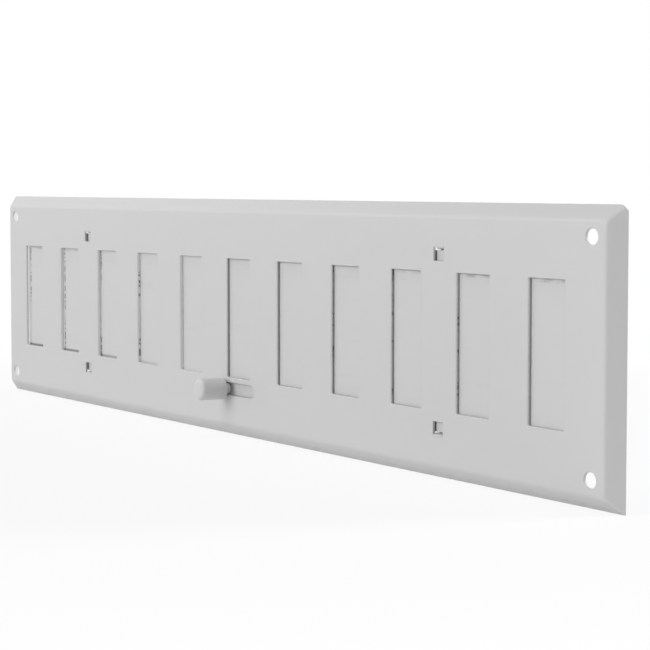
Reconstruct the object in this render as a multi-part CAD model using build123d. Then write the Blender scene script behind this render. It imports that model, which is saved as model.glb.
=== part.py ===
from build123d import *
import os
from math import atan2, cos, sin

# Adjustable wall vent grille: a pressed sheet cover with eleven upright slots,
# and a slotted shutter that slides behind it. Millimetres, +Z up. The front
# faces -Y, and the origin is the middle of the cover's front face.

# Pressed cover
plate_length = 500.0
plate_height = 100.0
plate_depth = 5.5
cover_sheet = 1.0
bevel_width = 5.0
fold_radius = 1.4
mitre_radius = 1.2
clip_along_top = 3.1
clip_down_side = 1.9

# Ventilation slots, in the cover and in the shutter
slot_count = 11
slot_width = 19.6
slot_height = 50.0
slot_corner_radius = 0.3
shutter_overlap = 0.8
shutter_end_overlap = 0.4
shutter_slot_margin = 0.8

# Fixing holes
fixing_inset_x = 12.0
fixing_inset_z = 10.4
fixing_hole_width = 6.4
fixing_hole_height = 5.2

# Lanced windows and the hooks bent back from them
window_pitches_out = 3.5
window_above_slot = 4.0
window_width = 6.4
window_height = 5.6
hook_width = 2.6
hook_left_of_middle = 0.9
hook_bend_radius = 1.0
hook_lip = 1.9

# Shutter
shutter_sheet = 0.8
shutter_front_gap = 0.4
shutter_back_gap = 0.3
shutter_edge_gap = 0.3
shutter_end_gap = 0.45
shutter_corner_radius = 1.5

# Knob, its shoulder and its slot
knob_diameter = 9.2
knob_length = 11.8
knob_edge_radius = 1.0
knob_rear_chamfer = 0.25
knob_stand_off = 2.0
knob_below_slot = 4.9
shoulder_diameter = 4.6
knob_slot_side_gap = 0.3
knob_slot_end_gap = 0.5

# Screw and washer that hold the knob to the shutter
screw_diameter = 3.0
screw_clearance = 0.1
screw_reach = 6.0
screw_head_diameter = 5.6
screw_head_height = 1.5
screw_head_radius = 0.4
recess_width = 0.8
recess_length = 3.0
recess_depth = 0.8
washer_diameter = 7.0
washer_thickness = 0.5

# Worked out from the sizes above
shutter_front_y = cover_sheet + shutter_front_gap
shutter_back_y = shutter_front_y + shutter_sheet
washer_back_y = shutter_back_y + washer_thickness
bevel_angle = atan2(plate_depth, bevel_width)
side_wall = cover_sheet / sin(bevel_angle)
stroke = slot_width + shutter_overlap

# The row of slots is as long as the shutter's travel inside the cover allows
cover_inside_x = plate_length / 2 - bevel_width * (1 - shutter_front_y / plate_depth) - side_wall
open_end_x = cover_inside_x - shutter_end_gap
row_end_x = open_end_x - stroke - shutter_end_overlap
slot_pitch = (2 * row_end_x - slot_width) / (slot_count - 1)
shutter_bar = slot_width + 2 * shutter_overlap
shutter_opening = slot_pitch - shutter_bar
shutter_length = 2 * (row_end_x + shutter_end_overlap)

# Places of the holes, windows, hooks and knob
fixing_spacing_x = plate_length - 2 * fixing_inset_x
fixing_spacing_z = plate_height - 2 * fixing_inset_z
window_x = window_pitches_out * slot_pitch
window_centre_z = slot_height / 2 + window_above_slot + window_height / 2
hook_root_z = window_centre_z + window_height / 2
hook_inner_z = hook_root_z - hook_bend_radius - cover_sheet / 2
shutter_half_height = hook_inner_z - shutter_edge_gap
knob_x = -stroke / 2
knob_z = -slot_height / 2 - knob_below_slot


def front_plane(y):
    """A drawing plane that faces the viewer: x to the right, z up, at depth y."""
    return Plane(origin=(0, y, 0), x_dir=(1, 0, 0), z_dir=(0, -1, 0))


def tray_block(length, height, depth, fold):
    """A block with its rim in the wall plane, whose four sides lean in towards the
    front, and whose front edges are rounded by the fold radius."""
    block = Pos(0, plate_depth - depth / 2, 0) * Box(length, depth, height)
    for x, z in ((1, 0), (-1, 0), (0, 1), (0, -1)):
        rim = (x * length / 2, plate_depth, z * height / 2)
        outward = (x * sin(bevel_angle), -cos(bevel_angle), z * sin(bevel_angle))
        block = split(block, bisect_by=Plane(origin=rim, z_dir=outward), keep=Keep.BOTTOM)
    front = block.faces().sort_by(Axis.Y)[0]
    return fillet(front.edges(), fold)


def mitre_edges(block):
    """The four slanting edges where the sides of a tray block meet."""
    return [edge for edge in block.edges() if (edge @ 0).Z != (edge @ 1).Z
            and (edge @ 0).X != (edge @ 1).X and (edge @ 0).Y != (edge @ 1).Y]


def cover_shell():
    """The pressed tray: flat front, bevelled sides with soft folds, open at the wall."""
    outer = tray_block(plate_length, plate_height, plate_depth, fold_radius + cover_sheet)
    outer = fillet(mitre_edges(outer), mitre_radius)
    inner = tray_block(plate_length - 2 * side_wall, plate_height - 2 * side_wall,
                       plate_depth - cover_sheet, fold_radius)
    return outer - inner


def corner_clip():
    """The cut across the tip of the upper right corner."""
    right = plate_length / 2
    top = plate_height / 2
    triangle = Polyline((right - clip_along_top, top), (right + 1, top + 1),
                        (right, top - clip_down_side), close=True)
    return extrude(front_plane(-1) * make_face(triangle), plate_depth + 2, dir=(0, 1, 0))


def through_cover(sketch):
    """Carry a flat outline right through the front sheet."""
    return extrude(front_plane(-1) * sketch, cover_sheet + 2, dir=(0, 1, 0))


def vent_slots():
    slot = RectangleRounded(slot_width, slot_height, slot_corner_radius)
    return Sketch() + GridLocations(slot_pitch, 0, slot_count, 1) * slot


def fixing_holes():
    hole = SlotOverall(fixing_hole_width, fixing_hole_height)
    return Sketch() + GridLocations(fixing_spacing_x, fixing_spacing_z, 2, 2) * hole


def lance_windows():
    window = Rectangle(window_width, window_height)
    return Sketch() + GridLocations(2 * window_x, 2 * window_centre_z, 2, 2) * window


def knob_slot():
    length = stroke + shoulder_diameter + 2 * knob_slot_end_gap
    height = shoulder_diameter + 2 * knob_slot_side_gap
    return Pos(0, knob_z) * SlotOverall(length, height)


def retaining_hook(x, side):
    """A tab that stays joined at the window's outer edge, bent back past the edge
    of the shutter and then in behind it. Side is 1 at the top and -1 below."""
    middle = cover_sheet / 2
    lip_y = shutter_back_y + shutter_back_gap + middle
    turn = hook_bend_radius
    start = (middle, hook_root_z + middle)
    bend_in = (middle, hook_root_z)
    bend_out = (middle + turn, hook_root_z - turn)
    lip_in = (lip_y - turn, hook_root_z - turn)
    lip_out = (lip_y, hook_root_z - 2 * turn)
    lip_end = (lip_y, hook_root_z - 2 * turn - hook_lip)

    def at(point):
        return Vector(x, point[0], side * point[1])

    back = Vector(0, 1, 0)
    inward = Vector(0, 0, -side)
    first = Line(at(start), at(bend_in))
    bend = TangentArc(at(bend_in), at(bend_out), tangent=inward)
    run = Line(at(bend_out), at(lip_in))
    hook = TangentArc(at(lip_in), at(lip_out), tangent=back)
    lip = Line(at(lip_out), at(lip_end))
    path = Wire([first.edge(), bend.edge(), run.edge(), hook.edge(), lip.edge()])
    section = Plane(origin=at(start), x_dir=(1, 0, 0), z_dir=inward) * Rectangle(hook_width, cover_sheet)
    return sweep(section, path)


def face_plate():
    plate = cover_shell()
    for cut in (vent_slots(), fixing_holes(), lance_windows(), knob_slot()):
        plate = plate - through_cover(cut)
    for x in (-window_x, window_x):
        for side in (-1, 1):
            plate = plate + retaining_hook(x - hook_left_of_middle, side)
    return plate - corner_clip()


def shutter_plate():
    """A flat strip with one bar behind each slot of the cover when shut."""
    outline = RectangleRounded(shutter_length, 2 * shutter_half_height, shutter_corner_radius)
    opening = RectangleRounded(shutter_opening, slot_height + 2 * shutter_slot_margin, slot_corner_radius)
    outline -= GridLocations(slot_pitch, 0, slot_count - 1, 1) * opening
    outline -= Pos(knob_x, knob_z) * Circle(screw_diameter / 2 + screw_clearance)
    return extrude(front_plane(shutter_front_y) * outline, shutter_sheet, dir=(0, 1, 0))


def turned(radius, y_start, y_end):
    """A round bar on the knob's axis."""
    disc = front_plane(y_start) * Pos(knob_x, knob_z) * Circle(radius)
    return extrude(disc, y_end - y_start, dir=(0, 1, 0))


def knob():
    """Turned in one piece: the grip, and the shoulder that stands on the shutter."""
    rear_y = -knob_stand_off
    grip = turned(knob_diameter / 2, rear_y - knob_length, rear_y)
    ends = grip.edges().filter_by(GeomType.CIRCLE).sort_by(Axis.Y)
    grip = fillet(ends[0], knob_edge_radius)
    ends = grip.edges().filter_by(GeomType.CIRCLE).sort_by(Axis.Y)
    grip = chamfer(ends[-1], knob_rear_chamfer)
    shoulder = turned(shoulder_diameter / 2, rear_y - knob_rear_chamfer, shutter_front_y)
    bore_end = shutter_front_y - screw_reach - screw_clearance
    bore = turned(screw_diameter / 2 + screw_clearance / 2, bore_end, shutter_front_y)
    return grip + shoulder - bore


def knob_washer():
    ring = turned(washer_diameter / 2, shutter_back_y, washer_back_y)
    return ring - turned(screw_diameter / 2 + screw_clearance, shutter_back_y, washer_back_y)


def knob_screw():
    """Low-headed screw through the washer and the shutter into the knob."""
    head = turned(screw_head_diameter / 2, washer_back_y, washer_back_y + screw_head_height)
    rim = head.edges().filter_by(GeomType.CIRCLE).sort_by(Axis.Y)[-1]
    head = fillet(rim, screw_head_radius)
    shank = turned(screw_diameter / 2, shutter_front_y - screw_reach, washer_back_y)
    head_end = washer_back_y + screw_head_height
    cross = Rectangle(recess_length, recess_width) + Rectangle(recess_width, recess_length)
    recess = front_plane(head_end - recess_depth) * Pos(knob_x, knob_z) * cross
    return head + shank - extrude(recess, recess_depth + 1, dir=(0, 1, 0))


pieces = {
    "face_plate": face_plate(),
    "shutter_plate": shutter_plate(),
    "knob": knob(),
    "knob_washer": knob_washer(),
    "knob_screw": knob_screw(),
}

os.makedirs("parts", exist_ok=True)
for name, piece in pieces.items():
    export_step(piece, f"parts/{name}.step")
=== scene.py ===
# %% [markdown]
# Adjustable wall vent grille, dressed for the camera. A pressed cover carries
# eleven slots, and a slotted shutter slides behind it on a small knob. The packed
# model is loaded first and stays the frame: everything here is in metres, +Z is
# up and the front faces -Y.

# %% Load the frame
import bmesh
import bpy
import math
import numpy as np
from mathutils import Matrix, Vector
from mathutils.geometry import tessellate_polygon


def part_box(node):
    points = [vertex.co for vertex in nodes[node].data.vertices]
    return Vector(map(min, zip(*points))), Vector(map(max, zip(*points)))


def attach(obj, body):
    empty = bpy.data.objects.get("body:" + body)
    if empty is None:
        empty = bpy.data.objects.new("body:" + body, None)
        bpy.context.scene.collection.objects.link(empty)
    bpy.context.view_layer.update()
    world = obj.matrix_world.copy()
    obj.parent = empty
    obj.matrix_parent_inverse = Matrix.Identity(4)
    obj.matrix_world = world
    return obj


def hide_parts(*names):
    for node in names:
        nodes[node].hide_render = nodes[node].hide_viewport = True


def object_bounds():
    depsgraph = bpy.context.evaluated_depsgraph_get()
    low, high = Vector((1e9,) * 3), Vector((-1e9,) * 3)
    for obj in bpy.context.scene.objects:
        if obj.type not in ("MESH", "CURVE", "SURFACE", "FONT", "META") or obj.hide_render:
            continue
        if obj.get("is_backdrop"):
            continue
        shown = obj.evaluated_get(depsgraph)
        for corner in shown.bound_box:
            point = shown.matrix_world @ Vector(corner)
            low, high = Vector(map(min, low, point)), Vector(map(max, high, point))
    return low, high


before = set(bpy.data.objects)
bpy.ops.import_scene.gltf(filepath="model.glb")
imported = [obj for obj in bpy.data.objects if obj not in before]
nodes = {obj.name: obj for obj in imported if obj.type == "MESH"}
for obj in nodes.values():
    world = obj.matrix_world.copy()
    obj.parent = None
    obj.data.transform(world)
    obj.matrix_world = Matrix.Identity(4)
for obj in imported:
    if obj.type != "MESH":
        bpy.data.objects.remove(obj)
cad_box = [list(corner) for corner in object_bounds()]
mm = 0.001
print("pieces:", sorted(nodes))

# %% [markdown]
# The camera stands to the right of the grille, a little above its middle, and
# looks along its length with a long lens. A look-at constraint would be quicker,
# but three direction vectors give the roll and the tilt as well, exactly.

# %% Camera
camera_place = Vector((0.7879181, -0.4299116, 0.0566472))
camera_right = Vector((0.5141543, 0.8576976, 0.0004089))
camera_up = Vector((-0.0566163, 0.0334634, 0.9978350))
camera_back = camera_right.cross(camera_up)
camera_data = bpy.data.cameras.new("camera")
camera_data.sensor_width = 36.0
camera_data.lens = 118.893
camera = bpy.data.objects.new("camera", camera_data)
turned = Matrix((camera_right, camera_up, camera_back)).transposed().to_4x4()
camera.matrix_world = Matrix.Translation(camera_place) @ turned
bpy.context.scene.collection.objects.link(camera)
bpy.context.scene.camera = camera
bpy.context.scene.view_settings.view_transform = "Standard"
print("lens", camera_data.lens, "mm, distance", round(camera_place.length, 3), "m")

# %% [markdown]
# Every sheet part of the grille is made in the same way: a ring of points goes
# round an outline, and a row of such rings follows the section of the sheet. The
# corners of the rings are arcs. Beside each arc stands one more point, where the
# flat side is long enough, so that the smooth shading of the corner ends there and
# doesn't run along the side.


# %% Rings round an outline
def ring(half_x, half_z, radius, steps=6, support=0.4 * mm):
    """Points (x, z) round a rectangle with rounded corners. On each corner's arc, at
    angle a, a point is the arc's centre plus the radius times (cos a, sin a)."""
    quarter = np.linspace(0, math.pi / 2, steps + 1)
    straight = (half_z - radius, half_x - radius)
    rows = []
    for corner, (side_x, side_z) in enumerate(((1, 1), (-1, 1), (-1, -1), (1, -1))):
        angle = quarter + corner * math.pi / 2
        way = np.stack([np.cos(angle), np.sin(angle)], 1)
        along = np.stack([-np.sin(angle), np.cos(angle)], 1)
        arc = np.array([side_x * (half_x - radius), side_z * (half_z - radius)]) + radius * way
        if straight[corner % 2] > 2 * support:
            rows.append(arc[:1] - support * along[:1])
        rows.append(arc)
        if straight[1 - corner % 2] > 2 * support:
            rows.append(arc[-1:] + support * along[-1:])
    return np.concatenate(rows)


def at_depth(rings, depths):
    """Rings of (x, z) carried to their depths y, as one grid of points."""
    rings = np.asarray(rings)
    y = np.broadcast_to(np.asarray(depths, float)[:, None], rings.shape[:2])
    return np.stack([rings[..., 0], y, rings[..., 1]], -1)


# %% [markdown]
# A skin gathers the strips and the flat fields of one sheet and sews them into one
# closed mesh. It also keeps two numbers for each point that the finish needs: how
# far it is a cut edge, and how far it is on the back, where the paint is thin. On
# the hooks the second number also carries painted shade.
# Blender's own Solidify would give a sheet its thickness in one step, but a
# punched edge is rolled over at the front and square at the back, and Solidify
# can't make the two sides differ.


# %% Skin
merge_distance = 0.002 * mm
sharp_angle = math.radians(36)


class Skin:
    """Vertices, faces and finish values of one closed sheet, kept as whole arrays."""

    def __init__(self):
        self.points = []
        self.cut = []
        self.back = []
        self.faces = []
        self.count = 0

    def add(self, points, cut, back):
        """Takes in a grid or a row of points. A finish value is one number, or one for
        each ring, or one for each point."""
        first = self.count
        shape = points.shape[:-1]
        self.points.append(points.reshape(-1, 3))
        for store, value in ((self.cut, cut), (self.back, back)):
            value = np.asarray(value, float)
            each_ring = value.ndim == 1 and len(shape) == 2
            store.append(np.broadcast_to(value[:, None] if each_ring else value, shape).ravel())
        self.count += self.points[-1].shape[0]
        return first

    def strip(self, points, cut=0.0, back=0.0):
        """Quads between neighbouring rings: point u of ring v joins u + 1 and v + 1."""
        first = self.add(points, cut, back)
        rows, columns = points.shape[:2]
        here = first + np.arange(rows * columns).reshape(rows, columns)
        after = np.roll(here, -1, 1)
        quads = np.stack([here[:-1], after[:-1], after[1:], here[1:]], -1)
        self.faces += quads.reshape(-1, 4).tolist()

    def field(self, outer, holes, y, back=0.0):
        """A flat field of triangles at depth y, between an outline and its holes."""
        loops = [outer] + list(holes)
        joined = np.concatenate(loops)
        depth = np.full(len(joined), y)
        first = self.add(np.stack([joined[:, 0], depth, joined[:, 1]], 1), 0.0, back)
        corners = [[Vector((x, z, 0.0)) for x, z in loop] for loop in loops]
        self.faces += (first + np.array(tessellate_polygon(corners))).tolist()

    def piece(self, name, body, finish, stands_for):
        """Sew the strips where they meet, turn the faces outwards and hand it over."""
        mesh = bpy.data.meshes.new(name)
        mesh.from_pydata(np.concatenate(self.points).tolist(), [], self.faces)
        for layer, values in (("cut", self.cut), ("back", self.back)):
            made = mesh.attributes.new(layer, "FLOAT", "POINT")
            made.data.foreach_set("value", np.concatenate(values).astype(np.float32))
        shell = bmesh.new()
        shell.from_mesh(mesh)
        bmesh.ops.remove_doubles(shell, verts=shell.verts, dist=merge_distance)
        bmesh.ops.recalc_face_normals(shell, faces=shell.faces)
        open_edges = sum(1 for edge in shell.edges if not edge.is_manifold)
        shell.to_mesh(mesh)
        shell.free()
        mesh.polygons.foreach_set("use_smooth", np.ones(len(mesh.polygons), bool))
        mesh.set_sharp_from_angle(angle=sharp_angle)
        mesh.materials.append(finish)
        part = bpy.data.objects.new(name, mesh)
        bpy.context.scene.collection.objects.link(part)
        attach(part, body)
        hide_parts(stands_for)
        print(name, len(mesh.vertices), "points,", open_edges, "open edges")
        return part


# %% [markdown]
# A punch rolls the sheet over where it enters, shears a clean band, and then tears
# the rest away. So the edge of each opening follows one section: a small arc at
# the front, a straight wall, and a slight lean outwards down to the back. A worn
# punch also leaves a burr there, which stands a little behind the back.


# %% Punched edges
roll_over = 0.3 * mm
slot_roll_over = 0.8 * mm
tear_lean = 0.04 * mm
edge_support = 0.3 * mm


def punched_edge(skin, half_x, half_z, radius, place, front_y, back_y, steps=6,
                 bare=1.0, roll=roll_over, ends=1.0, burr=0.0):
    """Rings round one opening, from the front field to the back field. On the front
    arc, at angle a, the ring stands roll (1 - sin a) outside the wall and
    roll (1 - cos a) behind the front. At the top and bottom of the opening only the
    share called ends of that width is kept. The burr is how far the torn edge stands
    behind the back, and bare is how much steel shows. Gives the front and back
    loops."""
    turn = np.linspace(0, math.pi / 2, 5)
    thick = back_y - front_y
    outside = np.concatenate([[roll + edge_support], roll * (1 - np.sin(turn)),
                              [0.0, tear_lean, 2 * tear_lean, 2 * tear_lean + edge_support]])
    depth = front_y + np.concatenate([[0.0], roll * (1 - np.cos(turn)),
                                      [(roll + thick) / 2, thick + burr, thick, thick]])
    cut = bare * np.array([0, 0.1, 0.35, 0.65, 0.9, 1, 1, 1, 1, 0])
    back = np.array([0, 0, 0, 0, 0, 0, 0, 0, 1, 1])
    rings = [place + ring(half_x + out, half_z + ends * out, radius + ends * out, steps)
             for out in outside]
    skin.strip(at_depth(rings, depth), cut, back)
    return rings[0], rings[-1]


# %% [markdown]
# The cover is one pressing: a flat front, four sides that lean back to the wall,
# and soft folds between them. A Bevel modifier would round every corner alike,
# but a press leaves the mitred corners sharp at the rim and rounder towards the
# front, so the radius of the rings grows with their distance from the rim.

# %% Section of the cover
plate_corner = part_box("face_plate")[1]
plate_half_x = plate_corner.x
plate_half_z = plate_corner.z
plate_depth = plate_corner.y
sheet = 1.0 * mm
bevel_width = 5.0 * mm
fold_inside = 1.4 * mm
mitre_growth = 0.3
rim_support = 0.12 * mm
lean = math.atan2(plate_depth, bevel_width)
side_wall = sheet / math.sin(lean)
fold_centre = bevel_width + (fold_inside + sheet) * math.tan(lean / 2)
cover_size = (2 * plate_half_x, 2 * plate_half_z, plate_depth)
print("cover", [round(value / mm, 2) for value in cover_size], "mm")


def cover_section(fold_radius, start):
    """How far inside the rim, and how deep, a skin of the cover runs: straight down
    the leaning side, then round the fold, where at angle a it is r sin a short of
    the fold's centre and r cos a in front of it."""
    angle = np.linspace(lean, 0, 9)
    inset = fold_centre - fold_radius * np.sin(angle)
    depth = fold_inside + sheet - fold_radius * np.cos(angle)
    down = np.array([math.cos(lean), -math.sin(lean)])
    near_rim = np.array([start, plate_depth]) + rim_support * down
    near_fold = np.array([inset[0], depth[0]]) - edge_support * down
    inset = np.concatenate([[start, near_rim[0], near_fold[0]], inset, [fold_centre + edge_support]])
    depth = np.concatenate([[plate_depth, near_rim[1], near_fold[1]], depth, [depth[-1]]])
    return inset, depth


def cover_ring(inset, corner):
    """A ring inside the rim. Its corners' radius grows in proportion to the inset."""
    radius = corner + mitre_growth * inset
    return ring(plate_half_x - inset, plate_half_z - inset, radius, steps=8)


# %% Openings of the cover
shutter_low, shutter_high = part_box("shutter_plate")
slot_half_x = 9.8 * mm
slot_half_z = 25.0 * mm
slot_corner = 0.3 * mm
slot_pitch = 42.774 * mm
slots_x = slot_pitch * (np.arange(11) - 5)
fixing_x = plate_half_x - 12.0 * mm
fixing_z = plate_half_z - 10.4 * mm
fixing_half_x = 3.2 * mm
fixing_half_z = 2.6 * mm
window_x = 3.5 * slot_pitch
window_z = 31.6 * mm
window_half_x = 3.2 * mm
window_half_z = 2.6 * mm
window_corner = 0.2 * mm
knob_low, knob_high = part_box("knob")
knob_x = (knob_low.x + knob_high.x) / 2
knob_z = (knob_low.z + knob_high.z) / 2
knob_slot_half_x = 13.0 * mm
knob_slot_half_z = 2.6 * mm
four_corners = [(-1, -1), (1, -1), (-1, 1), (1, 1)]
print("slots at", np.round(slots_x / mm, 1).tolist(), "mm")

# %% [markdown]
# Four small tabs stay joined to the cover and are bent back behind it. They hold
# the shutter and let it slide. Each is a flat section with broken corners, carried
# along a path of straight runs and two quarter turns. It is nearly as wide as its
# window until it has passed the shutter's edge, then it narrows to the hook, and a
# few shrinking rings close its tip. Its back has only the thin overspray, and
# painted shade darkens its front side from partway round the first bend on.

# %% Hooks
hook_root_half = 3.1 * mm
hook_left = -2.2 * mm
hook_right = 0.4 * mm
hook_half_thick = 0.49 * mm
hook_bend = 0.6 * mm
hook_turn = 1.0 * mm
hook_tip_z = 3.5 * mm
hook_start = 0.5 * mm
hook_broken = 0.1 * mm
hook_gap = 0.3 * mm
hook_back_y = shutter_high.y + hook_gap + sheet / 2
notch_row = 2
painted_shade_row = 3
narrow_row = 10


def hook_path(root_z):
    """Points (y, z) and headings along the tab: down from its root, a quarter turn
    back, a run past the shutter's edge, a quarter turn down and the lip."""
    angle = np.linspace(0, math.pi / 2, 9)
    first = np.stack([sheet / 2 + hook_bend * (1 - np.cos(angle)), root_z - hook_bend * np.sin(angle)], 1)
    second_y = hook_back_y - hook_turn + hook_turn * np.sin(angle)
    second_z = root_z - hook_bend - hook_turn + hook_turn * np.cos(angle)
    start = [[sheet / 2, root_z + hook_start]]
    tip = [[hook_back_y, root_z - hook_tip_z]]
    heading = np.concatenate([[0], angle, math.pi / 2 - angle, [0]])
    return np.concatenate([start, first, np.stack([second_y, second_z], 1), tip]), heading


def hook(skin, x, side, notch, painted_shade_from, shade_darkness):
    """One tab, at x and on the given side, 1 for the top. A notch takes some of its
    left side as the first bend begins. Painted shade of the given darkness lies on
    its front side from partway round the bend on, to the right of the given start
    across the tab. The tip is broken by a radius r: at angle a, its ring has shrunk
    by r (1 - cos a) and stands r sin a further along."""
    path, heading = hook_path(window_z + window_half_z)
    turn = np.linspace(0, math.pi / 2, 4)
    shrink = hook_broken * (1 - np.cos(turn))
    ahead = hook_broken * np.sin(turn)
    path = np.concatenate([path[:-1], np.stack([np.full(4, hook_back_y), path[-1, 1] - ahead], 1)])
    heading = np.concatenate([heading[:-1], np.zeros(4)])
    inside = np.concatenate([np.zeros(len(path) - 4), shrink])
    row = np.arange(len(path))
    narrow = np.clip(row - narrow_row, 0, 1)
    left = -hook_root_half + notch * np.clip(row - notch_row, 0, 1)
    left = left + (hook_left - left) * narrow
    right = hook_root_half + (hook_right - hook_root_half) * narrow
    half_width = (right - left) / 2
    section = np.stack([ring(half - gap, hook_half_thick - gap, hook_broken, 2, edge_support)
                        for half, gap in zip(half_width, inside)])
    across = section[..., 0] + (right + left)[:, None] / 2
    y = path[:, :1] + section[..., 1] * np.cos(heading)[:, None]
    z = path[:, 1:] + section[..., 1] * np.sin(heading)[:, None]
    # Painted shade on the tab's front side, carried in the back value, which darkens it like the thin
    # overspray.
    hook_painted_shade = shade_darkness * (row > painted_shade_row)[:, None] * (across > painted_shade_from)
    at_side = np.abs(section[..., 0]) > half_width[:, None] - 0.5 * hook_broken
    edge = at_side * (row > notch_row)[:, None]
    thin_or_painted_shade = np.where(section[..., 1] > 0, 1.0, hook_painted_shade)
    skin.strip(np.stack([x + across, y, side * z], -1), edge, thin_or_painted_shade)
    for end in (0, -1):
        loop = np.stack([x + across[end], y[end], side * z[end]], -1)
        first = skin.add(loop, 0.8, 0.6)
        skin.faces.append(list(range(first, first + len(loop))))


# %% [markdown]
# The finishes come next. Shader sums are written as plain Python, with a small
# class that stands for one output socket: adding or multiplying wires makes the
# Math nodes. That keeps a long recipe readable, where a node editor would show
# dozens of boxes.


# %% Shader sums
class Wire:
    """One output socket of a material, on which plain sums add Math nodes."""

    def __init__(self, tree, socket):
        self.tree = tree
        self.socket = socket

    def node(self, kind, settings=None, sockets=None, output=0):
        """Any node: its settings are set first, then its sockets' values or links."""
        made = self.tree.nodes.new(kind)
        for name, value in (settings or {}).items():
            setattr(made, name, value)
        for name, value in (sockets or {}).items():
            if isinstance(value, Wire):
                self.tree.links.new(value.socket, made.inputs[name])
            else:
                made.inputs[name].default_value = value
        return Wire(self.tree, made.outputs[output]) if made.outputs else None

    def math(self, operation, *others):
        """One Math node, with this wire as its first value."""
        values = dict(enumerate((self,) + others))
        return self.node("ShaderNodeMath", {"operation": operation}, values)

    def __add__(self, other):
        return self.math("ADD", other)

    def __sub__(self, other):
        return self.math("SUBTRACT", other)

    def __rsub__(self, other):
        return self.node("ShaderNodeMath", {"operation": "SUBTRACT"}, {0: other, 1: self})

    def __mul__(self, other):
        return self.math("MULTIPLY", other)

    __radd__ = __add__
    __rmul__ = __mul__

    def ramp(self, start, end, low=0.0, high=1.0):
        """Goes smoothly from low to high while this wire goes from start to end."""
        return self.node("ShaderNodeMapRange", {"clamp": True, "interpolation_type": "SMOOTHSTEP"}, {
            "Value": self, "From Min": start, "From Max": end, "To Min": low, "To Max": high})

    def noise(self, scale, detail=2.0, stretch=(1, 1, 1)):
        """Cloudy noise about 1/scale metres across, drawn out along an axis by stretch."""
        turned = self.node("ShaderNodeMapping", sockets={"Vector": self, "Scale": stretch})
        return self.node("ShaderNodeTexNoise", sockets={"Vector": turned, "Scale": scale, "Detail": detail})

    def blend(self, first, second):
        """A colour between two others, where this wire is the share of the second."""
        return self.node("ShaderNodeMix", {"data_type": "RGBA"}, {0: self, 6: first, 7: second}, output=2)

    def shade(self, colour):
        """A colour made lighter or darker by this wire."""
        return self.node("ShaderNodeVectorMath", {"operation": "SCALE"}, {0: colour, "Scale": self})


def material(name):
    """A new material, and a wire of its object coordinates."""
    made = bpy.data.materials.new(name)
    made.use_nodes = True
    made.node_tree.nodes.clear()
    start = Wire(made.node_tree, None)
    return made, start.node("ShaderNodeTexCoord", output="Object")


def axes(place):
    """The x, y and z of a place, as three wires."""
    return [place.node("ShaderNodeSeparateXYZ", sockets={0: place}, output=axis) for axis in range(3)]


def surface(place, **sockets):
    """The principled shader and the material's output."""
    named = {name.replace("_", " ").title(): value for name, value in sockets.items()}
    named["IOR"] = 1.5
    shader = place.node("ShaderNodeBsdfPrincipled", sockets=named)
    place.node("ShaderNodeOutputMaterial", sockets={"Surface": shader})


# %% [markdown]
# The cover is powder coated in a pale grey. Powder melts into a skin with a fine
# orange peel, so a dense noise drives the bump, and a slow one lets the tone and
# the gloss drift. The coat is thin on the rolled edges. Where the punch cut the
# sheet, bare steel shows in streaks across its thickness, and painted shade darkens
# it towards the back, most from the middle slot on. The walls of slots 2 to 5 are
# made lighter as painted light, with a line of painted shade at their front edge,
# and the walls of the other slots are made darker as painted shade. The right and
# lower edges of all slots show less bare steel, and slots 4 and 8 to 10 have
# chipped edges. The back has only a thin dull overspray.

# %% Cover paint
cover_tone = (0.606, 0.606, 0.606)
cover_paint, place = material("powder_coat")
x, y, z = axes(place)
cloud = place.noise(14.0, 3.0)
speck = place.noise(2600.0, 2.0)
peel = place.noise(900.0, 1.0)
fine = place.noise(3800.0, 1.0)
cut = place.node("ShaderNodeAttribute", {"attribute_name": "cut"}, output="Fac")
back = place.node("ShaderNodeAttribute", {"attribute_name": "back"}, output="Fac")
in_bay = (x - slots_x[0]).math("WRAP", slot_pitch / 2, -slot_pitch / 2)
cut = cut * (in_bay.ramp(0.0085, 0.0095, 1.0, 0.4) + in_bay.ramp(0.0125, 0.0135, 0.0, 0.6))
cut = cut * (z + 0.0251).math("ABSOLUTE").ramp(0.0002, 0.0005, 0.35, 1.0)
streak = place.noise(1400.0, 2.0, (0.6, 0.15, 0.6))
patch = place.noise(160.0, 2.0)
# Painted light: the walls of slots 2 to 5 are made lighter and show less bare steel.
painted_lit_walls = x.ramp(-0.222, -0.185) * x.ramp(-0.05, -0.015, 1.0, 0.0)
bare = cut * (patch + streak - 0.5).ramp(0.3, 0.6, 0.7, 1.0) * (1.0 - 0.9 * painted_lit_walls)
chip = place.noise(600.0, 2.0, (0.3, 0.5, 1)).ramp(0.52, 0.60) * place.noise(36.0, 1.0).ramp(0.40, 0.52)
chip = chip * cut * (x.ramp(-0.125, -0.115) * x.ramp(-0.085, -0.06, 1.0, 0.0)
                     + x.ramp(0.045, 0.065) * x.ramp(0.17, 0.195, 1.0, 0.0))
chip = chip * y.ramp(0.0003, 0.0006)
# Painted shade: the bare steel of the cut walls darkens towards the back, most from the middle slot on.
wall_painted_shade = y.ramp(0.0001, 0.0009) * x.ramp(-0.10, -0.01) * x.ramp(0.05, 0.2, 1.0, 0.6)
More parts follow.
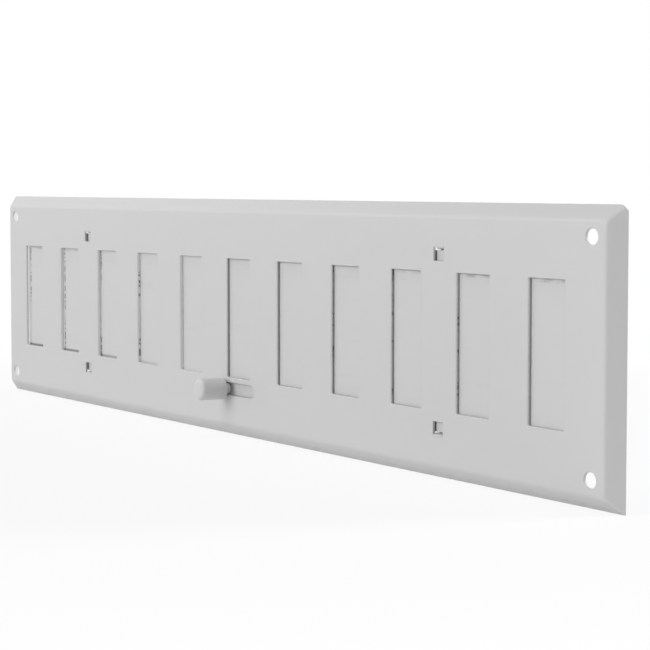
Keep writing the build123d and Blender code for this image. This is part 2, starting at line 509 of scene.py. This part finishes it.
# Painted shade at the front edge of the lighter walls, and painted shade over the walls of the other slots.
wall_painted_light = painted_lit_walls * y.ramp(0.0003, 0.0006, -0.25, 0.2) - 0.3 * (1.0 - painted_lit_walls)
paint_tone = (0.975 + 0.03 * cloud + 0.02 * speck + wall_painted_light * cut).shade(cover_tone)
thin_tone = (0.85 + 0.3 * cloud).shade((0.22, 0.22, 0.22))
steel_tone = ((0.8 + 0.4 * streak) * (1.0 - 0.55 * wall_painted_shade)).shade((0.49, 0.486, 0.48))
tone = back.blend(paint_tone, thin_tone)
tone = (0.9 * chip).blend(bare.blend(tone, steel_tone), (0.08, 0.08, 0.08, 1))
height = peel + 0.35 * fine
bump = place.node("ShaderNodeBump", sockets={"Height": height, "Strength": 0.16, "Distance": 0.0001})
surface(place, base_color=tone, roughness=0.40 + 0.07 * cloud + 0.05 * speck + 0.1 * back,
        metallic=0.45 * bare, normal=bump)
print("cover paint:", len(cover_paint.node_tree.nodes), "nodes")

# %% [markdown]
# The shutter has the same coat. It is pushed to and fro behind the cover, so the
# paint carries faint scuffs drawn out along x. Darker lines run along the lower
# edges of the left slots, and along the upper edges of the right slots and, fainter,
# of the left ones. A ragged line of painted shadow lies beside the left edges of
# slots 1 to 3, and painted shade beside the left edges of the windows. Close behind
# the left edge of each slot runs a strip made lighter as painted light. Each mark
# is a band: one ramp opens it, another closes it, and a third fades it out along
# the grille. WRAP repeats it per slot.

# %% Shutter paint
shutter_paint, place = material("rubbed_coat")
x, y, z = axes(place)
cloud = place.noise(14.0, 3.0)
peel = place.noise(1000.0, 1.0)
speck = place.noise(2400.0, 2.0)
scuff = place.noise(420.0, 3.0, (0.08, 1, 1)).ramp(0.56, 0.72)
cut = place.node("ShaderNodeAttribute", {"attribute_name": "cut"}, output="Fac")
back = place.node("ShaderNodeAttribute", {"attribute_name": "back"}, output="Fac")
patch = place.noise(300.0, 2.0, (0.5, 1, 1))
# Darker lines along the lower edges of the left slots and along the upper edges of the slots.
lower_edge_line = (z + 0.0246).math("ABSOLUTE").ramp(0.0004, 0.0008, 1.0, 0.0) * x.ramp(-0.18, -0.05, 1.0, 0.0)
upper_edge_line = (z - 0.0244).math("ABSOLUTE").ramp(0.0003, 0.0010, 1.0, 0.0) * patch.ramp(0.4, 0.6)
upper_edge_line = upper_edge_line * (x.ramp(0.1, 0.18) + x.ramp(-0.2, -0.1, 0.7, 0.0))
height_off = z.math("ABSOLUTE")
in_slot = height_off.ramp(0.0252, 0.0260, 1.0, 0.0)
past_edge = (x - (slots_x[0] - slot_half_x)).math("WRAP", slot_pitch / 2, -slot_pitch / 2)
# Painted shadow: a ragged dark line on the shutter beside the left edges of slots 1 to 3, fading by slot 4.
from_shadow_line = past_edge - x.ramp(-0.26, -0.09, 0.0030, 0.0004)
dash = place.noise(600.0, 2.0, (0.2, 1, 1)).ramp(0.47, 0.56) * place.noise(40.0, 1.0).ramp(0.40, 0.54)
painted_gap_shadow = from_shadow_line.ramp(-0.0008, -0.0005) * from_shadow_line.ramp(-0.0003, 0.0004, 1.0, 0.0) * in_slot
painted_gap_shadow = painted_gap_shadow * x.ramp(-0.14, -0.08, 1.0, 0.0) * (0.2 + 1.2 * dash)
# Painted light: a lighter strip on the shutter just behind each slot's left edge, in the shade of the cover.
painted_light_strip = past_edge.ramp(-0.0012, -0.0009) * past_edge.ramp(0.0, 0.0004, 1.0, 0.0) * in_slot
painted_light_strip = painted_light_strip * x.ramp(-0.05, -0.03, 1.0, 0.8)
# Painted shade: a dark strip on the shutter beside the left edge of each window.
past_window = (x + window_x + window_half_x).math("WRAP", window_x, -window_x)
window_end = x.ramp(-0.1, 0.1, 0.0010, 0.0002)
painted_window_shade = past_window.ramp(-0.0011, -0.0008) * (past_window - window_end).ramp(0.0, 0.0004, 1.0, 0.0)
painted_window_shade = painted_window_shade * height_off.ramp(0.0268, 0.0278)
# Scuffs, the edge lines, painted shadow, painted shade and painted light, summed into one change of tone.
wear_and_painted_light = 0.015 * scuff + 0.65 * lower_edge_line + 0.3 * upper_edge_line + painted_gap_shadow + 0.6 * painted_window_shade - 0.5 * painted_light_strip
paint_tone = (0.98 + 0.03 * cloud + 0.02 * speck - wear_and_painted_light).shade((0.604, 0.604, 0.604))
thin_tone = (0.85 + 0.3 * cloud).shade((0.50, 0.50, 0.50))
steel_tone = (0.5 + 0.8 * speck).shade((0.34, 0.335, 0.33))
tone = (cut * 0.8).blend(back.blend(paint_tone, thin_tone), steel_tone)
bump = place.node("ShaderNodeBump", sockets={
    "Height": peel - 0.3 * scuff, "Strength": 0.14, "Distance": 0.0001})
surface(place, base_color=tone, roughness=0.42 + 0.06 * cloud + 0.05 * scuff,
        metallic=0.3 * cut, normal=bump)
print("shutter paint:", len(shutter_paint.node_tree.nodes), "nodes")

# %% [markdown]
# The knob is turned, then sprayed with the grille. The faint rings that the tool
# left still show through the paint: they are circles round the knob's own axis,
# so the distance from that axis drives them. The groove at its foot, next to the
# shutter, is made darker as painted shade.

# %% Knob paint
knob_paint, place = material("turned_knob_coat")
x, y, z = axes(place)
away = ((x - knob_x) * (x - knob_x) + (z - knob_z) * (z - knob_z)).math("SQRT")
turning = ((away + 0.7 * y) * (2 * math.pi / (0.35 * mm))).math("SINE")
cloud = place.noise(120.0, 2.0)
speck = place.noise(2600.0, 1.0)
# Painted shade: the groove at the knob's foot is made darker.
painted_groove_shade = y.ramp(0.0004, 0.0008) * away.ramp(0.0017, 0.0019)
tone = (0.97 + 0.04 * cloud + 0.02 * speck - 0.6 * painted_groove_shade).shade((0.625, 0.625, 0.625))
bump = place.node("ShaderNodeBump", sockets={
    "Height": 0.25 * turning + speck, "Strength": 0.08, "Distance": 0.00006})
surface(place, base_color=tone, roughness=0.36 + 0.08 * cloud, normal=bump)
print("knob paint:", len(knob_paint.node_tree.nodes), "nodes")

# %% [markdown]
# Screw and washer are zinc plated: bright, slightly blue, with a fine random grain
# and cloudier patches where the plating has dulled.


# %% Zinc
def zinc(name, tone, scale):
    """A zinc plated finish of the given tone. The grain is about 1/scale metres."""
    made, place = material(name)
    grain = place.noise(scale, 3.0)
    dull = place.noise(260.0, 2.0).ramp(0.45, 0.7)
    colour = (0.9 + 0.18 * grain - 0.12 * dull).shade(tone)
    bump = place.node("ShaderNodeBump", sockets={"Height": grain, "Strength": 0.1, "Distance": 0.00005})
    surface(place, base_color=colour, roughness=0.26 + 0.14 * grain + 0.18 * dull,
            metallic=1.0, normal=bump)
    return made


for node, finish in (("knob_washer", zinc("zinc_washer", (0.62, 0.64, 0.66), 1500.0)),
                     ("knob_screw", zinc("zinc_screw", (0.60, 0.61, 0.62), 2200.0))):
    nodes[node].material_slots[0].material = finish
    print(node, "has", finish.name)

# %% [markdown]
# Now the cover is sewn together. Both skins start at the rim, where a flat strip in
# the wall plane joins them, and each ends in a flat field with twenty openings. The
# spray reaches round the rim and thins out over the inside of the fold. Round ends
# keep a hair of straight wall, so that no two points fall together. The burrs
# differ from slot to slot, as the dark lines beside the real slots do.

# %% Cover
cover = Skin()
outer_inset, outer_depth = cover_section(fold_inside + sheet, 0.0)
inner_inset, inner_depth = cover_section(fold_inside, side_wall)
outer_mitre = 0.25 * mm
inner_mitre = -0.15 * mm
outer_rings = [cover_ring(inset, outer_mitre) for inset in outer_inset]
inner_rings = [cover_ring(inset, inner_mitre) for inset in inner_inset]
cover.strip(at_depth(outer_rings, outer_depth))
flange_spray = np.concatenate([np.zeros(4), np.linspace(0.0, 1.0, 9)[1:], [1.0]])
cover.strip(at_depth(inner_rings, inner_depth), 0.0, flange_spray)
cover.strip(at_depth([outer_rings[0], inner_rings[0]], [plate_depth, plate_depth]), 0.6, [0.0, 1.0])
front_loops = []
back_loops = []
hair = 0.01 * mm
burrs = mm * np.array([0.0, 0.28, 0.28, 0.28, 0.28, 0.08, 0.08, 0.08, 0.12, 0.15, 0.15])
openings = [(slot_half_x, slot_half_z, slot_corner, (slot, 0.0),
             {"steps": 4, "roll": slot_roll_over, "ends": 0.4, "burr": burr})
            for slot, burr in zip(slots_x, burrs)]
openings += [(fixing_half_x, fixing_half_z, fixing_half_z - hair, (fixing_x * a, fixing_z * b),
              {"steps": 10, "bare": 0.1}) for a, b in four_corners]
openings += [(window_half_x, window_half_z, window_corner, (window_x * a, window_z * b),
              {"steps": 3, "bare": 0.3}) for a, b in four_corners]
openings += [(knob_slot_half_x, knob_slot_half_z, knob_slot_half_z - hair, (0.0, knob_z),
              {"steps": 10, "bare": 0.8})]
for half_x, half_z, radius, middle_of, edge in openings:
    front, rear = punched_edge(cover, half_x, half_z, radius, np.array(middle_of), 0.0, sheet, **edge)
    front_loops.append(front)
    back_loops.append(rear)
cover.field(outer_rings[-1], front_loops, 0.0)
cover.field(inner_rings[-1], back_loops, sheet, 1.0)
notches = mm * np.array([1.3, 0.0, 1.8, 1.5])
# Where across each tab the painted shade starts, and how dark it is.
painted_shade_starts = mm * np.array([0.4, -4.0, 0.4, 0.8])
painted_shade_levels = (0.9, 0.55, 0.9, 1.0)
for (a, b), notch, painted_shade_from, shade_darkness in zip(four_corners, notches, painted_shade_starts, painted_shade_levels):
    hook(cover, window_x * a, b, notch, painted_shade_from, shade_darkness)
cover_part = cover.piece("pressed_cover", "cover", cover_paint, "face_plate")

# %% [markdown]
# The tip of the upper right corner is cut off. A flat cut through a closed shell
# leaves a hole with a flat rim, so bisect makes the cut and one face fills it.

# %% Clipped corner
clip_from = Vector((plate_half_x - 3.1 * mm, 0.0, plate_half_z))
clip_to = Vector((plate_half_x, 0.0, plate_half_z - 1.9 * mm))
clip_along = clip_to - clip_from
clip_out = Vector((-clip_along.z, 0.0, clip_along.x)).normalized()
shell = bmesh.new()
shell.from_mesh(cover_part.data)
everything = list(shell.verts) + list(shell.edges) + list(shell.faces)
result = bmesh.ops.bisect_plane(shell, geom=everything, plane_co=clip_from, plane_no=clip_out,
                                dist=1e-7, clear_outer=True)
rim = [edge for edge in result["geom_cut"] if isinstance(edge, bmesh.types.BMEdge)]
filled = bmesh.ops.contextual_create(shell, geom=rim)["faces"]
bmesh.ops.recalc_face_normals(shell, faces=shell.faces)
print("corner clipped:", len(rim), "cut edges,", len(filled), "face,",
      sum(1 for edge in shell.edges if not edge.is_manifold), "open edges")
shell.to_mesh(cover_part.data)
shell.free()
cover_part.data.set_sharp_from_angle(angle=sharp_angle)

# %% [markdown]
# The shutter is a flat strip with ten openings, punched like the cover, and a round
# hole for the knob's screw. Its own outline is sheared, so the outer edge is
# broken only very slightly, on both faces.

# %% Shutter
shutter = Skin()
shutter_half_x = shutter_high.x
shutter_half_z = shutter_high.z
shutter_corner = 1.5 * mm
broken = 0.08 * mm
turn = np.linspace(0, math.pi / 2, 4)
outside = np.concatenate([[broken + edge_support], broken * (1 - np.sin(turn)),
                          broken * (1 - np.sin(turn[::-1])), [broken + edge_support]])
depth = np.concatenate([[shutter_low.y], shutter_low.y + broken * (1 - np.cos(turn)),
                        shutter_high.y - broken * (1 - np.cos(turn[::-1])), [shutter_high.y]])
rings = [ring(shutter_half_x - out, shutter_half_z - out, shutter_corner - out, 6) for out in outside]
shutter.strip(at_depth(rings, depth), [0, 0, 0.3, 0.8, 1, 1, 0.8, 0.3, 0, 0], [0, 0, 0, 0, 0, 1, 1, 1, 1, 1])
shutter_roll_over = 0.12 * mm
bar_overlap = 0.8 * mm
opening_half_x = slot_pitch / 2 - slot_half_x - bar_overlap
opening_half_z = slot_half_z + bar_overlap
screw_hole = 1.6 * mm
openings = [(opening_half_x, opening_half_z, slot_corner, (0.5 * (a + b), 0.0), 3)
            for a, b in zip(slots_x, slots_x[1:])]
openings += [(screw_hole, screw_hole, screw_hole - hair, (knob_x, knob_z), 8)]
front_loops = []
back_loops = []
for half_x, half_z, radius, middle_of, steps in openings:
    front, rear = punched_edge(shutter, half_x, half_z, radius, np.array(middle_of),
                               shutter_low.y, shutter_high.y, steps, roll=shutter_roll_over)
    front_loops.append(front)
    back_loops.append(rear)
shutter.field(rings[0], front_loops, shutter_low.y)
shutter.field(rings[-1], back_loops, shutter_high.y, 1.0)
shutter.piece("slotted_shutter", "shutter", shutter_paint, "shutter_plate")

# %% [markdown]
# The knob is a lathe shape: one section turned round an axis, from the middle of
# its front to the end of the bore behind. A Screw modifier could turn it, but then
# the pole needs mending, so the section is turned here as a grid, and the points
# that fall together on the axis are merged.

# %% Knob
knob_radius = (knob_high.x - knob_low.x) / 2
knob_front_y = knob_low.y
knob_foot_y = knob_high.y
knob_rear_y = -2.0 * mm
edge_radius = 1.6 * mm
rear_chamfer = 0.25 * mm
shoulder_radius = 2.3 * mm
groove_radius = 1.85 * mm
groove_y = knob_foot_y - 0.7 * mm
bore_radius = 1.55 * mm
bore_end_y = knob_foot_y - 6.1 * mm
angle = np.linspace(0, math.pi / 2, 9)
flat_radius = knob_radius - edge_radius
inner_ring = 1.5 * mm
face = np.array([[0.0, knob_front_y], [inner_ring, knob_front_y], [flat_radius - edge_support, knob_front_y]])
rounded = np.stack([flat_radius + edge_radius * np.sin(angle),
                    knob_front_y + edge_radius * (1 - np.cos(angle))], 1)
grip = np.array([[knob_radius, knob_front_y + edge_radius + edge_support],
                 [knob_radius, knob_rear_y - rear_chamfer], [knob_radius - rear_chamfer, knob_rear_y]])
shoulder = np.array([[shoulder_radius, knob_rear_y], [shoulder_radius, groove_y],
                     [groove_radius, groove_y], [groove_radius, knob_foot_y]])
bore = np.array([[bore_radius, knob_foot_y], [bore_radius, bore_end_y], [0.0, bore_end_y]])
section = np.concatenate([face, rounded, grip, shoulder, bore])
around = np.linspace(0, 2 * math.pi, 72, endpoint=False)
points = np.stack([knob_x + section[:, :1] * np.cos(around),
                   np.broadcast_to(section[:, 1:], (len(section), len(around))),
                   knob_z + section[:, :1] * np.sin(around)], -1)
knob = Skin()
knob.strip(points)
knob.piece("turned_knob", "shutter", knob_paint, "knob")

# %% [markdown]
# The grille stands on a white floor that catches its shadow. Far from it the floor
# and the world turn to pure white, but only for rays that look at them: from the
# camera, off a glossy surface or through glass. A brighter lamp would make the
# backdrop white too, but it would bleach the paint as well.


# %% Rays that look
def looked_at(start):
    """One where a camera, glossy or transmission ray arrives, and nought elsewhere."""
    camera_ray, glossy_ray, through_ray = [start.node("ShaderNodeLightPath", output=name) for name in (
        "Is Camera Ray", "Is Glossy Ray", "Is Transmission Ray")]
    return camera_ray.math("MAXIMUM", glossy_ray).math("MAXIMUM", through_ray)


# %% Stage
floor_z = cad_box[0][2]
reach = 6.0
floor_mesh = bpy.data.meshes.new("floor")
corners = [(reach * a, reach * b, floor_z) for a, b in ((-1, -1), (1, -1), (1, 1), (-1, 1))]
floor_mesh.from_pydata(corners, [], [(0, 1, 2, 3)])
floor = bpy.data.objects.new("floor", floor_mesh)
bpy.context.scene.collection.objects.link(floor)
floor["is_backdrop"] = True
floor_white, place = material("floor_white")
diffuse = place.node("ShaderNodeBsdfDiffuse", sockets={"Color": (0.9, 0.9, 0.9, 1)})
glow = place.node("ShaderNodeEmission", sockets={"Color": (1, 1, 1, 1), "Strength": 1.0})
away = place.node("ShaderNodeVectorMath", {"operation": "LENGTH"}, {0: place}, output="Value")
share = away.ramp(0.28, 0.5, 0.87, 1.0) * looked_at(place)
mixed = place.node("ShaderNodeMixShader", sockets={0: share, 1: diffuse, 2: glow})
place.node("ShaderNodeOutputMaterial", sockets={"Surface": mixed})
floor_mesh.materials.append(floor_white)
print("floor at", round(floor_z, 4), "m")

# %% World
ambient = 0.12
world = bpy.data.worlds.new("studio")
bpy.context.scene.world = world
world.use_nodes = True
world.node_tree.nodes.clear()
sky = Wire(world.node_tree, None)
level = ambient + (1 - ambient) * looked_at(sky)
backdrop = sky.node("ShaderNodeBackground", sockets={"Color": (1, 1, 1, 1), "Strength": level})
sky.node("ShaderNodeOutputWorld", sockets={"Surface": backdrop})

# %% [markdown]
# Eight soft lamps share the work. A broad one and a low one stand in front of the
# face, and one overhead lights the upper bevel and the knob. Three weak ones on the
# left and one on the right reach along the grille and light its side bevels, and
# one behind lights the back. Each is given as the light level it makes at the
# grille, so that a colour renders about as it is written when the levels that reach
# it add up to one.


# %% Lamps
def lamp(name, way, distance, size, level):
    """A round area lamp. Its power is level times pi squared times distance squared."""
    way = Vector(way).normalized()
    data = bpy.data.lights.new(name, "AREA")
    data.shape = "DISK"
    data.size = size
    data.energy = level * math.pi ** 2 * distance ** 2
    made = bpy.data.objects.new(name, data)
    facing = way.to_track_quat("Z", "Y").to_matrix().to_4x4()
    made.matrix_world = Matrix.Translation(way * distance) @ facing
    bpy.context.scene.collection.objects.link(made)
    print(name, "level", level, "power", round(data.energy, 1), "W")


lamp("front_lamp", (-0.1, -1.0, 0.35), 2.2, 1.5, 0.385)
lamp("low_lamp", (-0.1, -1.0, 0.12), 2.2, 0.3, 0.06)
lamp("top_lamp", (0.1, -0.25, 1.0), 1.6, 0.8, 0.25)
lamp("upper_left_lamp", (-0.5, -0.6, 0.8), 1.8, 1.2, 0.08)
lamp("left_lamp", (-1.0, -0.5, 0.3), 1.8, 1.0, 0.06)
lamp("end_lamp", (-0.9, 0.0, 0.44), 1.3, 0.5, 0.034)
lamp("right_lamp", (0.8, -0.7, 0.3), 2.2, 0.8, 0.065)
lamp("back_lamp", (0.45, 1.0, 0.4), 2.2, 0.8, 1.0)

# %% Size and finish
visual_box = [list(corner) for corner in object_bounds()]
for name, box in (("cad", cad_box), ("visual", visual_box)):
    print(name, "size", [round(b - a, 5) for a, b in zip(*box)])
